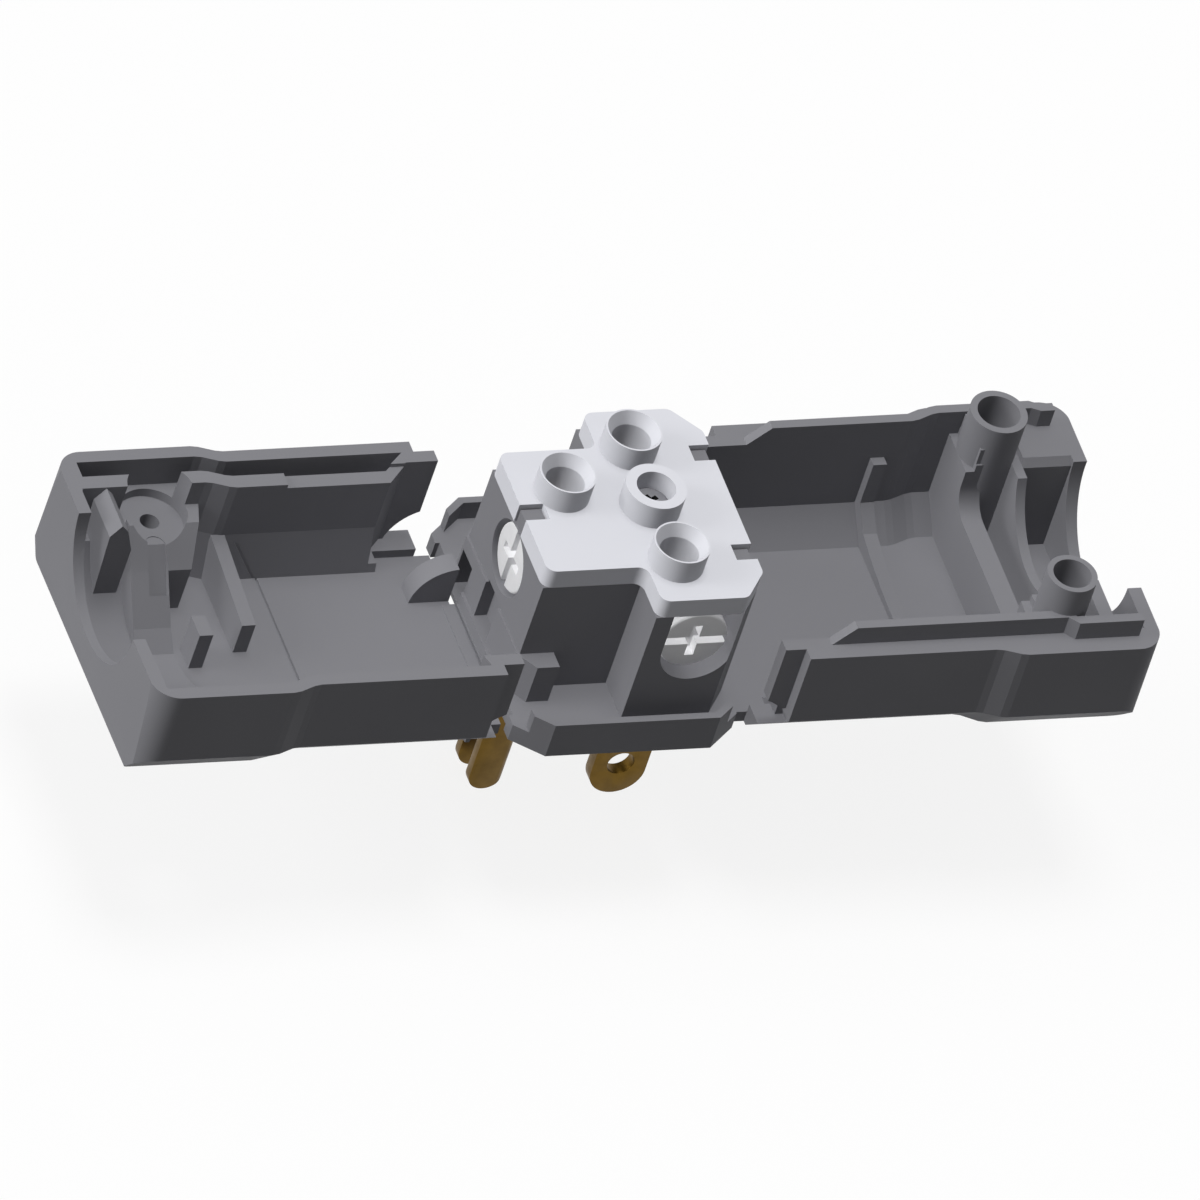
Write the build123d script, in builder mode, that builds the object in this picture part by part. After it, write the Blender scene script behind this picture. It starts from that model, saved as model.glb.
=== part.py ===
# Rewireable power plug, shown open: a base with three contacts, a wire cover
# and two shells that swing on film hinges and close over the wiring.
# Millimetres. X runs to the right-hand shell, Y away from the viewer, Z up.
# The origin is on the flange's mating face, midway between the hinges.
# Shell features are placed by u, the distance from the YZ plane, and by Y.

import math
import os

from build123d import *

os.makedirs("parts", exist_ok=True)

# Hinges
hinge_x = 13.15          # hinge axis to the YZ plane
hinge_z = 0.40           # hinge axis above the mating face
hinge_half = 5.2         # half length of each film hinge
hinge_lip_r = 0.35       # rounded lip of a shell, centred on the axis
hinge_gap = 0.05         # between the base's strip and that lip
hinge_strip_t = 0.70     # thickness of the hinge material

# Clearances
fit_gap = 0.05           # contacts in their slots in the base
fin_gap = 0.25           # hinge fins in their slots, each side
parting_gap = 0.10       # each closed shell to the YZ plane

# Flange
flange_t = 2.2
flange_half_y = 17.2
flange_face_half_x = 9.65
flange_corner_x = 13.1
flange_corner_y = flange_half_y - 2.8
flange_edge_x = 12.6     # edge that faces the shell's floor
flange_notch_y = flange_half_y - 4.25
rim_t = 0.85
rim_top_z = 4.66
rim_end_x = 11.6

# T-shaped core on the flange
core_top_z = 17.6
arm_left_x = -11.9
arm_half_y = flange_half_y - 8.3
step_x = -0.4            # where the arm meets the cross bar
bar_right_x = 12.35
bar_half_y = flange_half_y - 3.0
bar_chamfer_x = 2.55
bar_chamfer_y = 3.2
foot_left_x = -12.2
foot_right_x = -7.9
foot_half_y = 11.1
foot_top_z = 7.4
foot_chamfer_x = 1.7
foot_chamfer_y = 2.2

# Hinge fins and their slots
fin_r = 5.07
fin_t = 2.5
fin_left_y = 5.8
fin_right_y = 9.4
slot_floor_z = 0.55

# Contacts
blade_x = 5.945
blade_y = 6.35
blade_w = 6.35
blade_t = 1.52
blade_tip_z = -16.9
blade_top_z = 16.0
blade_head_w = 8.0
blade_head_z = 9.0
tip_hole_r = 1.55
tip_hole_z = -12.5
pin_right_x = -4.6
pin_left_x = -8.6
pin_w = 4.75
pin_t = 1.1
pin_tip_z = -20.35
pin_leg_top_z = 6.5
pin_leg_r = (pin_right_x - pin_left_x) / 2
pad_w = 8.0

# Terminals
terminal_z = 12.1
ground_z = 13.1
pocket_r = 4.25
ground_pocket_r = 4.3
screw_head_r = 3.9
screw_head_t = 2.2
screw_shank_r = 2.0
terminal_sink = 1.6      # screw heads below the core's long faces
ground_head_x = -11.5
plate_w = 7.6
plate_t = 1.0
thread_r = 1.99          # shank, a touch under its hole
slot_w = 1.05
slot_depth = 0.9
cross_len = 4.4

# Wire cover
cover_t = 2.5
cover_left_x = -12.0
cover_half_y = arm_half_y + 0.05
cover_right_x = 12.6
cover_chamfer_x = 2.9
cover_chamfer_y = 3.6
cover_corner_r = 1.2
boss_top_z = 23.15
funnel_r = 3.15
funnel_mouth_r = 2.95
funnel_bore_r = 2.2
funnel_cone_h = 1.4
line_funnel_x = 3.05
line_funnel_y = 8.46
ground_funnel_x = -6.6
ground_funnel_y = 2.74
cover_boss_r = 3.4
cover_screw_x = 2.8
cover_screw_top_z = 21.0
cover_screw_r = 1.4
cover_head_r = 2.1
cover_head_t = 1.9
cover_screw_reach = 7.0  # into the core
pilot_depth = 9.0
wire_relief = 0.3        # core hole under a funnel, each side
tab_t = 1.9              # snap tabs and the notches around them
tab_gap = 0.2
side_tab_y = 7.45
left_tab_x = -9.4
right_tab_x = 10.4

# Shells
parting_z = hinge_z + hinge_x - parting_gap
shell_half_y = flange_half_y + 0.35
shell_widening = 1.0     # the cord end is this much wider on each side
jog_start_u = 39.5
jog_end_u = 43.0
shell_end_u = 59.0
end_draft = 0.55
end_edge_r = 1.4         # rounded lower edge of the end face
end_corner_r = 3.0
end_wall_t = 1.6
shell_bottom_z = -0.85
floor_z = 0.6
outer_chamfer_y = 4.25
wide_chamfer_y = 3.8     # past the jog, at the cord end
outer_chamfer_z = 4.65
outer_wall_u = 17.7      # where the outer side wall begins
inset_wall_u = 15.3      # where the inner tail of the side wall begins
inset_wall_y = shell_half_y - 3.05
inset_wall_t = 1.55
ledge_z = 1.68
ledge_y = shell_half_y - 4.85
tab_u = 13.5             # floor edge at the hinge
rim_relief_r = 5.65      # swept clearance for the flange's rim
inner_slope_y = shell_half_y - 6.91
right_slope_z = 3.57
left_wall_y = shell_half_y - 5.45
left_slope_z = 6.1
near_wall_y = shell_half_y - 1.55  # the left shell's near wall has no inner lip
near_slope_z = 5.2

# Tongue and groove
tongue_t = 1.1
tongue_h = 2.4
tongue_start_u = 20.8
tongue_end_u = 56.4
near_tongue_u = 47.9     # where the near tongue steps outward
far_tongue_u = 53.8      # where the far tongue steps back inward
far_tongue_step = 0.5
groove_in_y = inset_wall_y - 0.65
groove_out_y = inset_wall_y + 1.5
groove_depth = 4.0
groove_start_u = 19.1
groove_diag = 2.4
groove_end_u = 56.8
lip_drop = 0.5
lip_drop_u = 33.6

# Cord end
cord_r = 9.5
boss_u = 48.3
boss_y = shell_half_y - 4.95
far_boss_r = 3.2
far_bore_r = 2.4
near_boss_r = 2.8
near_bore_r = 2.15
far_boss_top_z = 18.6
near_boss_top_z = 19.5
far_bite_r = 3.8
far_bite_z = 8.3
near_bite_r = 3.1
near_bite_z = 7.2
screw_hole_r = 1.1
screw_head_hole_r = 2.2
near_socket_r = 2.2
near_socket_z = 4.0
near_pocket_u = 52.4
near_pocket_y = shell_half_y - 6.95
near_pocket_r = 1.9
near_pocket_z = 2.0
lining_rib_u = 36.1      # low rib that lines floor and walls
lining_rib_y = inset_wall_y - 1.1
lining_rib_z = 1.4
lining_rib_knee_z = 4.6
lining_rib_rise = 1.2
lining_rib_top_z = 10.4
front_wall_u = 45.1
front_wall_t = 1.0
front_wall_z = 12.5
clamp_wall_t = 1.4
clamp_gap_y = inset_wall_y - 4.8  # half width between the far and near clamp blocks
clamp_gap_z = 7.55
clamp_gap_r = 3.0
gusset_top_z = 15.6
rear_wall_u = 50.7
rear_wall_t = 1.1
rear_wall_z = 12.6
rear_saddle_r = 8.6
rear_saddle_z = 15.0
shelf_chamfer = 0.8
near_rib_u = 53.6
near_rib_y = inset_wall_y - 7.6
near_rib_z = 12.2
channel_u = 47.5         # left clamp: round channel under the cord
channel_top_z = 7.2
pad_u = 42.9
pad_front_u = 44.8
pad_end_u = 51.9
pad_y = left_wall_y - 5.2
pad_z = 6.5
pad_slope_y = left_wall_y - 1.7
pad_top_z = 10.15
pad_foot_y = 2.5
pad_foot_z = 2.2
key_slot_w = 2.25
key_slot_u = 48.7
key_slot_foot_y = 5.0
key_slot_depth = 0.8
stub_rib_u = 44.96
stub_rib_y = -2.1
stub_rib_len = 3.0
stub_rib_z = 5.6
long_rib_u = 39.1
long_rib_y = -0.1
long_rib_z = 4.7
rib_t = 1.6
post_u = 52.5
post_y = 7.4
post_top_z = 13.3
score_u = 34.3
score_w = 0.4
score_depth = 0.4
score_lean = 0.63        # toward the cord end as it climbs


# Helpers used by every part

def block(x, y, z, mode=Mode.ADD):
    # Box between the given pairs of X, Y and Z limits.
    centre = ((x[0] + x[1]) / 2, (y[0] + y[1]) / 2, (z[0] + z[1]) / 2)
    with Locations(centre):
        Box(abs(x[1] - x[0]), abs(y[1] - y[0]), abs(z[1] - z[0]), mode=mode)


def upright(x, y, r, z0, z1, mode=Mode.ADD):
    # Cylinder along Z.
    with Locations((x, y, (z0 + z1) / 2)):
        Cylinder(r, z1 - z0, mode=mode)


def along_y(x, z, r, y0, y1, mode=Mode.ADD):
    # Cylinder along Y.
    with Locations(Location((x, (y0 + y1) / 2, z), (90, 0, 0))):
        Cylinder(r, abs(y1 - y0), mode=mode)


def along_x(y, z, r, x0, x1, mode=Mode.ADD):
    # Cylinder along X.
    with Locations(Location(((x0 + x1) / 2, y, z), (0, 90, 0))):
        Cylinder(r, abs(x1 - x0), mode=mode)


def plan_prism(points, z0, z1, mode=Mode.ADD):
    # Upright prism over a plan outline.
    with BuildSketch(Plane.XY.offset(z0)) as outline:
        with BuildLine():
            Polyline(*points, close=True)
        make_face()
    extrude(outline.sketch, amount=z1 - z0, mode=mode)


def section_prism(points, u0, u1, mode=Mode.ADD):
    # Prism along X over a section drawn in Y and Z.
    with BuildSketch(Plane.YZ.offset(u0)) as outline:
        with BuildLine():
            Polyline(*points, close=True)
        make_face()
    extrude(outline.sketch, amount=u1 - u0, mode=mode)


def side_prism(points, y0, y1, mode=Mode.ADD):
    # Prism along Y over a side view drawn in X and Z.
    with BuildSketch(Plane.XZ.offset(-y0)) as outline:
        with BuildLine():
            Polyline(*points, close=True)
        make_face()
    extrude(outline.sketch, amount=-(y1 - y0), mode=mode)


def t_outline(left_x, half_arm, right_x, half_bar, chamfer_x, chamfer_y):
    # T-shaped plan of the core and of the cover over it.
    return [
        (left_x, -half_arm),
        (step_x, -half_arm),
        (step_x, -half_bar),
        (right_x - chamfer_x, -half_bar),
        (right_x, -half_bar + chamfer_y),
        (right_x, half_bar - chamfer_y),
        (right_x - chamfer_x, half_bar),
        (step_x, half_bar),
        (step_x, half_arm),
        (left_x, half_arm),
    ]


def finish(part, name):
    # Label one piece and write its file.
    part.label = name
    export_step(part, "parts/" + name + ".step")


# Base: flange, rim, core, terminal pockets and hinge strips

def flange():
    x = flange_corner_x
    y = flange_corner_y
    e = flange_edge_x
    n = flange_notch_y
    points = [
        (-flange_face_half_x, -flange_half_y),
        (flange_face_half_x, -flange_half_y),
        (x, -y),
        (x, -n),
        (e, -n),
        (e, n),
        (x, n),
        (x, y),
        (flange_face_half_x, flange_half_y),
        (-flange_face_half_x, flange_half_y),
        (-x, y),
        (-x, n),
        (-e, n),
        (-e, -n),
        (-x, -n),
        (-x, -y),
    ]
    plan_prism(points, 0, flange_t)


def rim(side):
    # Low wall along one long face of the flange and its two chamfers.
    slope = (flange_half_y - flange_corner_y) / (flange_corner_x - flange_face_half_x)
    length = math.hypot(1, slope)
    drop = (rim_end_x - flange_face_half_x) * slope
    inner_y = flange_half_y - rim_t
    inner_x = flange_face_half_x - rim_t * (length - 1) / slope
    inner_drop = (rim_end_x - inner_x) * slope
    points = [
        (-rim_end_x, side * (flange_half_y - drop)),
        (-flange_face_half_x, side * flange_half_y),
        (flange_face_half_x, side * flange_half_y),
        (rim_end_x, side * (flange_half_y - drop)),
        (rim_end_x, side * (inner_y - inner_drop)),
        (inner_x, side * inner_y),
        (-inner_x, side * inner_y),
        (-rim_end_x, side * (inner_y - inner_drop)),
    ]
    plan_prism(points, flange_t, rim_top_z)


def foot():
    # Low step at the left of the core, seen as a rail over the fin slots.
    points = [
        (foot_right_x, -foot_half_y),
        (foot_right_x, foot_half_y),
        (foot_left_x + foot_chamfer_x, foot_half_y),
        (foot_left_x, foot_half_y - foot_chamfer_y),
        (foot_left_x, -foot_half_y + foot_chamfer_y),
        (foot_left_x + foot_chamfer_x, -foot_half_y),
    ]
    plan_prism(points, flange_t, foot_top_z)


def terminal_pocket(side):
    # U-shaped pocket in a long face of the cross bar, open upward.
    back = side * (blade_y - blade_t / 2 - fit_gap)
    front = side * (bar_half_y + 1)
    along_y(blade_x, terminal_z, pocket_r, back, front, Mode.SUBTRACT)
    block(
        (blade_x - pocket_r, blade_x + pocket_r),
        (back, front),
        (terminal_z, core_top_z + 1),
        Mode.SUBTRACT,
    )


def blade_slot(side):
    half_w = blade_w / 2 + fit_gap
    half_t = blade_t / 2 + fit_gap
    block(
        (blade_x - half_w, blade_x + half_w),
        (side * blade_y - half_t, side * blade_y + half_t),
        (-1, terminal_z),
        Mode.SUBTRACT,
    )


def ground_pocket():
    back = pin_right_x + fit_gap
    along_x(0, ground_z, ground_pocket_r, arm_left_x - 1, back, Mode.SUBTRACT)
    block(
        (pin_left_x - fit_gap, back),
        (-pin_w / 2 - fit_gap, pin_w / 2 + fit_gap),
        (-1, ground_z),
        Mode.SUBTRACT,
    )
    # Way down for the ground wire, in line with its funnel.
    hole_r = funnel_bore_r + wire_relief
    upright(ground_funnel_x, ground_funnel_y, hole_r, ground_z, core_top_z + 1, Mode.SUBTRACT)


def fin_slot(sign, y0):
    # Slot that a shell's fin turns in.
    inner = hinge_x - fin_r - fin_gap
    block(
        (sign * inner, sign * (hinge_x + 1)),
        (y0 - fin_gap, y0 + fin_t + fin_gap),
        (slot_floor_z, hinge_z + fin_r + fin_gap),
        Mode.SUBTRACT,
    )


def hinge_strip(sign):
    end = hinge_x - hinge_lip_r - hinge_gap
    block(
        (sign * (flange_edge_x - 0.5), sign * end),
        (-hinge_half, hinge_half),
        (hinge_z - hinge_strip_t / 2, hinge_z + hinge_strip_t / 2),
    )


def snap_tabs():
    # Tabs that stand in the cover's notches.
    z = (core_top_z - 0.1, core_top_z + tab_t)
    half = tab_t / 2
    block((arm_left_x + 0.1, left_tab_x), (-half, half), z)
    for y in (side_tab_y, -side_tab_y):
        block((right_tab_x, bar_right_x - 0.1), (y - half, y + half), z)


with BuildPart() as base_part:
    flange()
    rim(1)
    rim(-1)
    plan_prism(
        t_outline(arm_left_x, arm_half_y, bar_right_x, bar_half_y, bar_chamfer_x, bar_chamfer_y),
        flange_t,
        core_top_z,
    )
    foot()
    snap_tabs()
    hinge_strip(1)
    hinge_strip(-1)
    for side in (-1, 1):
        terminal_pocket(side)
        blade_slot(side)
    fin_slot(-1, fin_left_y)
    fin_slot(1, fin_right_y)
    ground_pocket()
    # Recess low in the middle of the left face.
    block((foot_left_x - 1, foot_left_x + 1.5), (-2, 2), (flange_t, foot_top_z + 0.3), Mode.SUBTRACT)
    # Pilot hole for the cover's screw.
    upright(cover_screw_x, 0, cover_screw_r, core_top_z - pilot_depth, core_top_z + 1, Mode.SUBTRACT)
finish(base_part.part, "base")


# Wire cover

def funnel(x, y):
    upright(x, y, funnel_r, core_top_z + cover_t - 0.1, boss_top_z)


def funnel_hole(x, y):
    upright(x, y, funnel_bore_r, core_top_z - 1, boss_top_z + 1, Mode.SUBTRACT)
    with Locations((x, y, boss_top_z - funnel_cone_h / 2)):
        Cone(funnel_bore_r, funnel_mouth_r, funnel_cone_h, mode=Mode.SUBTRACT)


funnels = [
    (line_funnel_x, line_funnel_y),
    (line_funnel_x, -line_funnel_y),
    (ground_funnel_x, ground_funnel_y),
]

with BuildPart() as cover_part:
    outline = t_outline(
        cover_left_x, cover_half_y, cover_right_x, bar_half_y, cover_chamfer_x, cover_chamfer_y
    )
    plan_prism(outline, core_top_z, core_top_z + cover_t)
    fillet(cover_part.edges().filter_by(Axis.Z), cover_corner_r)
    # Notches for the base's snap tabs.
    z = (core_top_z - 1, core_top_z + cover_t + 1)
    half = tab_t / 2 + tab_gap
    block((cover_left_x - 1, left_tab_x + tab_gap), (-half, half), z, Mode.SUBTRACT)
    for y in (side_tab_y, -side_tab_y):
        block((right_tab_x - tab_gap, cover_right_x + 1), (y - half, y + half), z, Mode.SUBTRACT)
    for x, y in funnels:
        funnel(x, y)
    upright(cover_screw_x, 0, cover_boss_r, core_top_z + cover_t - 0.1, boss_top_z)
    for x, y in funnels:
        funnel_hole(x, y)
    seat_z = cover_screw_top_z - cover_head_t
    upright(cover_screw_x, 0, cover_head_r + 0.1, seat_z, boss_top_z + 1, Mode.SUBTRACT)
    upright(cover_screw_x, 0, cover_screw_r + 0.2, core_top_z - 1, seat_z + 1, Mode.SUBTRACT)
finish(cover_part.part, "wire_cover")


# Contacts

def blade(side, name):
    inner = side * blade_y - blade_t / 2
    with BuildPart() as part:
        # Straight shank with a rounded tip.
        radius = blade_w / 2
        block(
            (blade_x - radius, blade_x + radius),
            (inner, inner + blade_t),
            (blade_tip_z + radius, blade_head_z + 1),
        )
        along_y(blade_x, blade_tip_z + radius, radius, inner, inner + blade_t)
        # Wider head in the terminal pocket, with rounded lower corners.
        along_y(blade_x, terminal_z, blade_head_w / 2, inner, inner + blade_t)
        block(
            (blade_x - blade_head_w / 2, blade_x + blade_head_w / 2),
            (inner, inner + blade_t),
            (terminal_z, blade_top_z),
        )
        along_y(blade_x, tip_hole_z, tip_hole_r, inner - 1, inner + blade_t + 1, Mode.SUBTRACT)
        along_y(blade_x, terminal_z, screw_shank_r, inner - 1, inner + blade_t + 1, Mode.SUBTRACT)
    finish(part.part, name)


blade(-1, "near_blade")
blade(1, "far_blade")

with BuildPart() as pin_part:
    half = pin_w / 2
    # Web and two legs of the folded pin.
    foot_z = pin_tip_z + pin_leg_r
    block((pin_right_x - pin_t, pin_right_x), (-half, half), (foot_z, ground_z))
    for inner, outer in ((half - pin_t, half), (-half, -half + pin_t)):
        block((pin_left_x, pin_right_x), (inner, outer), (foot_z, pin_leg_top_z))
        # Each leg ends in a half round.
        along_y(pin_right_x - pin_leg_r, foot_z, pin_leg_r, inner, outer)
    # Pad behind the ground screw.
    along_x(0, ground_z, pad_w / 2, pin_right_x - pin_t, pin_right_x)
    along_x(0, ground_z, screw_shank_r, pin_right_x - 3, pin_right_x + 1, Mode.SUBTRACT)
finish(pin_part.part, "ground_pin")


# Terminal screws and clamp plates

def screw_slots(plane):
    # Long slot and short cross cut into a screw head.
    with BuildSketch(plane) as slots:
        Rectangle(2 * screw_head_r + 1, slot_w)
        Rectangle(slot_w, cross_len)
    extrude(slots.sketch, amount=-slot_depth, mode=Mode.SUBTRACT)


def line_screw(side, name):
    head_y = bar_half_y - terminal_sink
    face = side * head_y
    under = side * (head_y - screw_head_t)
    end = side * (blade_y - blade_t / 2)
    with BuildPart() as part:
        along_y(blade_x, terminal_z, screw_head_r, under, face)
        along_y(blade_x, terminal_z, thread_r, end, face)
        direction = (0, side, 0)
        screw_slots(Plane(origin=(blade_x, face, terminal_z), x_dir=(1, 0, 0), z_dir=direction))
    finish(part.part, name)


def line_plate(side, name):
    head_under = bar_half_y - terminal_sink - screw_head_t
    outer = side * head_under
    inner = side * (head_under - plate_t)
    half = plate_w / 2
    with BuildPart() as part:
        block(
            (blade_x - half, blade_x + half),
            (inner, outer),
            (terminal_z - 1.5, terminal_z + half),
        )
        along_y(blade_x, terminal_z, half, inner, outer)
        along_y(blade_x, terminal_z, screw_shank_r + 0.1, inner - side, outer + side, Mode.SUBTRACT)
    finish(part.part, name)


line_screw(-1, "near_terminal_screw")
line_screw(1, "far_terminal_screw")
line_plate(-1, "near_clamp_plate")
line_plate(1, "far_clamp_plate")

with BuildPart() as ground_screw:
    under = ground_head_x + screw_head_t
    along_x(0, ground_z, screw_head_r, ground_head_x, under)
    along_x(0, ground_z, thread_r, ground_head_x, pin_right_x)
    screw_slots(Plane(origin=(ground_head_x, 0, ground_z), x_dir=(0, 0, 1), z_dir=(-1, 0, 0)))
finish(ground_screw.part, "ground_terminal_screw")

with BuildPart() as ground_plate:
    under = ground_head_x + screw_head_t
    along_x(0, ground_z, plate_w / 2, under, under + plate_t)
    along_x(0, ground_z, screw_shank_r + 0.1, under - 1, under + plate_t + 1, Mode.SUBTRACT)
finish(ground_plate.part, "ground_clamp_plate")

with BuildPart() as cover_screw:
    seat_z = cover_screw_top_z - cover_head_t
    upright(cover_screw_x, 0, cover_head_r, seat_z, cover_screw_top_z)
    upright(cover_screw_x, 0, cover_screw_r - 0.01, core_top_z - cover_screw_reach, cover_screw_top_z)
    with BuildSketch(Plane.XY.offset(cover_screw_top_z).move(Location((cover_screw_x, 0, 0)))) as cross:
        Rectangle(2.6, 0.7)
        Rectangle(0.7, 2.6)
    extrude(cross.sketch, amount=-0.9, mode=Mode.SUBTRACT)
finish(cover_screw.part, "cover_screw")


# Shells, drawn on the +X side and mirrored for the left one

def outer_section(widen):
    # Outer profile of a shell across its length.
    y = shell_half_y + widen
    foot = outer_chamfer_y - (outer_chamfer_y - wide_chamfer_y) * widen / shell_widening
    return [
        (-y, parting_z),
        (-y, shell_bottom_z + outer_chamfer_z),
        (-y + foot, shell_bottom_z),
        (y - foot, shell_bottom_z),
        (y, shell_bottom_z + outer_chamfer_z),
        (y, parting_z),
    ]


def inner_section(near, near_z, far, far_z, widen=0.0):
    # Inner profile, open upward past any rib or boss.
    s = inner_slope_y + widen
    top = parting_z + 10
    return [
        (-near - widen, top),
        (-near - widen, near_z),
        (-s, floor_z),
        (s, floor_z),
        (far + widen, far_z),
        (far + widen, top),
    ]


jog_steps = [(0.0, 0.0), (0.25, 0.16), (0.5, 0.5), (0.75, 0.84), (1.0, 1.0)]


def bridge(first_points, u0, second_points, u1, mode=Mode.ADD):
    # Straight-sided loft between two sections along X.
    with BuildSketch(Plane.YZ.offset(u0)) as first:
        with BuildLine():
            Polyline(*first_points, close=True)
        make_face()
    with BuildSketch(Plane.YZ.offset(u1)) as second:
        with BuildLine():
            Polyline(*second_points, close=True)
        make_face()
    loft([first.sketch, second.sketch], ruled=True, mode=mode)


def jogged(section, start_u, end_u, mode):
    # Narrow prism, a jog in four short steps, then a wide prism.
    section_prism(section(0.0), start_u, jog_start_u, mode)
    run = jog_end_u - jog_start_u
    for (t0, w0), (t1, w1) in zip(jog_steps, jog_steps[1:]):
        u0 = jog_start_u + run * t0
        u1 = jog_start_u + run * t1
        bridge(section(w0 * shell_widening), u0, section(w1 * shell_widening), u1, mode)
    section_prism(section(shell_widening), jog_end_u, end_u, mode)


def end_trim():
    # Draft of the end face and the two rounded end corners.
    z0 = shell_bottom_z
    foot_u = shell_end_u - end_draft
    far_u = shell_end_u + 1
    with BuildSketch(Plane.XZ.offset(-20)) as waste:
        with BuildLine():
            Polyline(
                (foot_u - end_edge_r, z0),
                (foot_u - end_edge_r, z0 - 1),
                (far_u, z0 - 1),
                (far_u, parting_z + 0.5),
                (shell_end_u, parting_z + 0.5),
                (foot_u, z0 + end_edge_r),
            )
            ThreePointArc(
                (foot_u, z0 + end_edge_r),
                (foot_u - end_edge_r * (1 - math.sqrt(0.5)), z0 + end_edge_r * (1 - math.sqrt(0.5))),
                (foot_u - end_edge_r, z0),
            )
        make_face()
    extrude(waste.sketch, amount=40, mode=Mode.SUBTRACT)
    y = shell_half_y + shell_widening
    cu = shell_end_u - end_corner_r
    for side in (-1, 1):
        cy = side * (y - end_corner_r)
        with BuildSketch(Plane.XY.offset(z0 - 1)) as corner:
            with Locations((cu + end_corner_r, cy + side * end_corner_r)):
                Rectangle(2 * end_corner_r, 2 * end_corner_r)
            with Locations((cu, cy)):
                Circle(end_corner_r, mode=Mode.SUBTRACT)
        extrude(corner.sketch, amount=parting_z - z0 + 2, mode=Mode.SUBTRACT)


def hinge_end():
    # Floor tab, ledges, inset wall tails, hinge lip: the end that faces the base.
    block((tab_u, outer_wall_u + 0.5), (-ledge_y, ledge_y), (shell_bottom_z, floor_z))
    chamfer_slope = outer_chamfer_y / outer_chamfer_z
    ledge_out = shell_half_y - outer_chamfer_y + (ledge_z - shell_bottom_z) * chamfer_slope
    inset_in_z = (
        shell_bottom_z
        + (inset_wall_y + 1.5 / math.cos(math.atan(chamfer_slope)) - shell_half_y + outer_chamfer_y)
        / chamfer_slope
    )
    inset_out_y = inset_wall_y + inset_wall_t
    inset_out_z = inset_in_z + inset_wall_t / chamfer_slope
    for side in (-1, 1):
        section_prism(
            [
                (side * (ledge_y - 0.5), shell_bottom_z),
                (side * (shell_half_y - outer_chamfer_y), shell_bottom_z),
                (side * ledge_out, ledge_z),
                (side * ledge_y, ledge_z),
                (side * ledge_y, floor_z),
                (side * (ledge_y - 0.5), floor_z),
            ],
            inset_wall_u,
            outer_wall_u + 0.5,
        )
        section_prism(
            [
                (side * inset_wall_y, parting_z),
                (side * inset_out_y, parting_z),
                (side * inset_out_y, inset_out_z),
                (side * inset_wall_y, inset_in_z),
            ],
            inset_wall_u,
            outer_wall_u + 0.5,
        )
        # The tail turns past the flange's rim.
        y0 = side * (inset_wall_y - 0.2)
        with BuildSketch(Plane.XZ.offset(-y0)) as relief:
            with Locations((hinge_x, hinge_z)):
                Circle(rim_relief_r)
            with Locations((hinge_x, ledge_z - 10)):
                Rectangle(20, 20, mode=Mode.SUBTRACT)
        extrude(relief.sketch, amount=-side * 2.5, mode=Mode.SUBTRACT)
    block(
        (hinge_x, tab_u + 1),
        (-hinge_half, hinge_half),
        (hinge_z - hinge_lip_r, hinge_z + hinge_lip_r),
    )
    along_y(hinge_x, hinge_z, hinge_lip_r, -hinge_half, hinge_half)


def fin(y0):
    # Quarter disc about the hinge axis.
    with BuildSketch(Plane.XZ.offset(-y0)) as disc:
        with Locations((hinge_x, hinge_z)):
            Circle(fin_r)
        with Locations((tab_u - 10, hinge_z)):
            Rectangle(20, 20, mode=Mode.SUBTRACT)
        with Locations((hinge_x, floor_z - 0.1 - 10)):
            Rectangle(20, 20, mode=Mode.SUBTRACT)
    extrude(disc.sketch, amount=-fin_t)


def cord_opening():
    # Half round through the end wall.
    along_x(0, parting_z, cord_r, shell_end_u - end_wall_t - 1, shell_end_u + 1, Mode.SUBTRACT)


def arc_wall(u0, thick, radius, z_centre, z_top, half_y):
    # Cross wall with a round cut-out that a cord lies in.
    block((u0, u0 + thick), (-half_y, half_y), (floor_z - 0.1, z_top))
    along_x(0, z_centre, radius, u0 - 0.5, u0 + thick + 0.5, Mode.SUBTRACT)


def lining_rib():
    # Low rib across the floor and up both walls.
    y = lining_rib_y
    foot_z = lining_rib_z + lining_rib_rise
    wall = inset_wall_y + 0.1
    low = floor_z - 0.1
    with BuildSketch(Plane.YZ.offset(lining_rib_u)) as outline:
        with BuildLine():
            Polyline(
                (inner_slope_y, foot_z),
                (y, lining_rib_knee_z),
                (y, lining_rib_top_z),
                (wall, lining_rib_top_z),
                (wall, right_slope_z - 0.1),
                (inner_slope_y, low),
                (-inner_slope_y, low),
                (-wall, right_slope_z - 0.1),
                (-wall, lining_rib_top_z),
                (-y, lining_rib_top_z),
                (-y, lining_rib_knee_z),
                (-inner_slope_y, foot_z),
            )
            ThreePointArc((-inner_slope_y, foot_z), (0, lining_rib_z), (inner_slope_y, foot_z))
        make_face()
    extrude(outline.sketch, amount=rib_t)


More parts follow.
